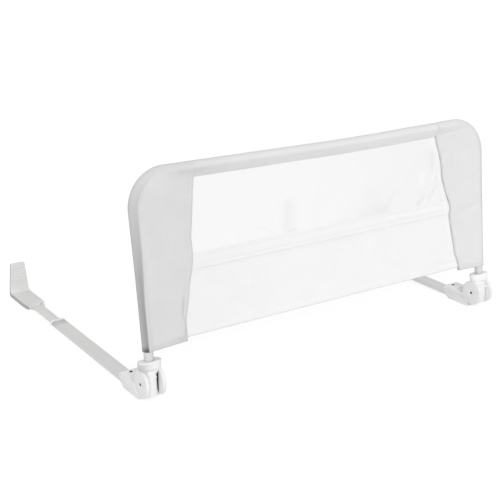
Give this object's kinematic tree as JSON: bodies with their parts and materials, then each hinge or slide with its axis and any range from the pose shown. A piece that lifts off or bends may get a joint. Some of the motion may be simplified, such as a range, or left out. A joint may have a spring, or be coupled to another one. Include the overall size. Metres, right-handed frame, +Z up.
{
  "type": "folding bed guard rail",
  "caption": "Folding bed guard rail: fabric-covered tube frame on fork hinges, with flat arms that lie under the mattress and L-shaped anchor feet on pull-out straps.",
  "frame": {"origin": "middle of the bounding box, on the plane that the brackets and feet stand on", "axes": "+X along the rail, +Y from the rail towards the bed, +Z up"},
  "size_m": [0.971, 0.737, 0.4711],
  "materials": {
    "painted_steel": "satin white paint",
    "white_plastic": "fine-grained white",
    "grey_plastic": "off-white, matt",
    "brushed_steel": "drawn, satin",
    "zinc_steel": "zinc plated",
    "spring_steel": "plain spring steel",
    "grey_cloth": "light grey woven",
    "white_cloth": "white woven",
    "white_mesh": "fine white mesh",
    "webbing": "flat woven webbing"
  },
  "bodies": {
    "rail": {"left_frame_tube": "painted_steel", "right_frame_tube": "painted_steel", "frame_joiner": "zinc_steel", "button_leaf": "spring_steel", "left_side_sleeve": "grey_cloth", "right_side_sleeve": "grey_cloth", "top_sleeve": "grey_cloth", "mesh_panel": "white_mesh", "seam_band": "white_cloth", "lower_panel": "white_cloth", "left_housing_outer": "white_plastic", "left_housing_inner": "white_plastic", "left_lock_spring": "spring_steel", "left_housing_screw_1": "zinc_steel", "left_housing_screw_2": "zinc_steel", "right_housing_outer": "white_plastic", "right_housing_inner": "white_plastic", "right_lock_spring": "spring_steel", "right_housing_screw_1": "zinc_steel", "right_housing_screw_2": "zinc_steel"},
    "button": {"joiner_button": "zinc_steel"},
    "left_arm": {"left_bracket": "white_plastic", "left_index_hub": "zinc_steel", "left_pivot_axle": "zinc_steel", "left_pivot_screw_outer": "zinc_steel", "left_pivot_screw_inner": "zinc_steel", "left_bracket_screw": "zinc_steel", "left_arm_tube": "brushed_steel", "left_end_cap": "white_plastic"},
    "left_lock": {"left_lock_slide": "grey_plastic"},
    "left_strap": {"left_strap": "webbing", "left_strap_stop": "white_plastic"},
    "left_foot": {"left_foot": "grey_plastic", "left_foot_pin": "zinc_steel"},
    "right_arm": {"right_bracket": "white_plastic", "right_index_hub": "zinc_steel", "right_pivot_axle": "zinc_steel", "right_pivot_screw_outer": "zinc_steel", "right_pivot_screw_inner": "zinc_steel", "right_bracket_screw": "zinc_steel", "right_arm_tube": "brushed_steel", "right_end_cap": "white_plastic"},
    "right_lock": {"right_lock_slide": "grey_plastic"},
    "right_strap": {"right_strap": "webbing", "right_strap_stop": "white_plastic"},
    "right_foot": {"right_foot": "grey_plastic", "right_foot_pin": "zinc_steel"}
  },
  "joints": [
    {"name": "joiner_button_press", "type": "slide", "parent": "rail", "child": "button", "axis": [0, 0.9921, -0.1253], "range_m": [-0.004, 0], "stiffness_N_per_m": 1000, "springref_m": 0.001, "deforming": ["button_leaf"]},
    {"name": "left_arm_fold", "type": "hinge", "parent": "rail", "child": "left_arm", "pos_m": [-0.46, -0.3385, 0.04], "axis": [1, 0, 0], "range_deg": [-165, 82]},
    {"name": "left_lock_slide", "type": "slide", "parent": "rail", "child": "left_lock", "axis": [0, 0, 1], "range_m": [-0.005, 0], "deforming": ["left_lock_spring"]},
    {"name": "left_strap_pull", "type": "slide", "parent": "left_arm", "child": "left_strap", "axis": [0, 1, 0], "range_m": [-0.1, 0.25]},
    {"name": "left_foot_turn", "type": "hinge", "parent": "left_strap", "child": "left_foot", "pos_m": [-0.46, 0.2555, 0.0046], "axis": [1, 0, 0], "range_deg": [-90, 90]},
    {"name": "right_arm_fold", "type": "hinge", "parent": "rail", "child": "right_arm", "pos_m": [0.46, -0.3385, 0.04], "axis": [1, 0, 0], "range_deg": [-165, 82]},
    {"name": "right_lock_slide", "type": "slide", "parent": "rail", "child": "right_lock", "axis": [0, 0, 1], "range_m": [-0.005, 0], "deforming": ["right_lock_spring"]},
    {"name": "right_strap_pull", "type": "slide", "parent": "right_arm", "child": "right_strap", "axis": [0, 1, 0], "range_m": [-0.1, 0.25]},
    {"name": "right_foot_turn", "type": "hinge", "parent": "right_strap", "child": "right_foot", "pos_m": [0.46, 0.2555, 0.0046], "axis": [1, 0, 0], "range_deg": [-90, 90]}
  ]
}
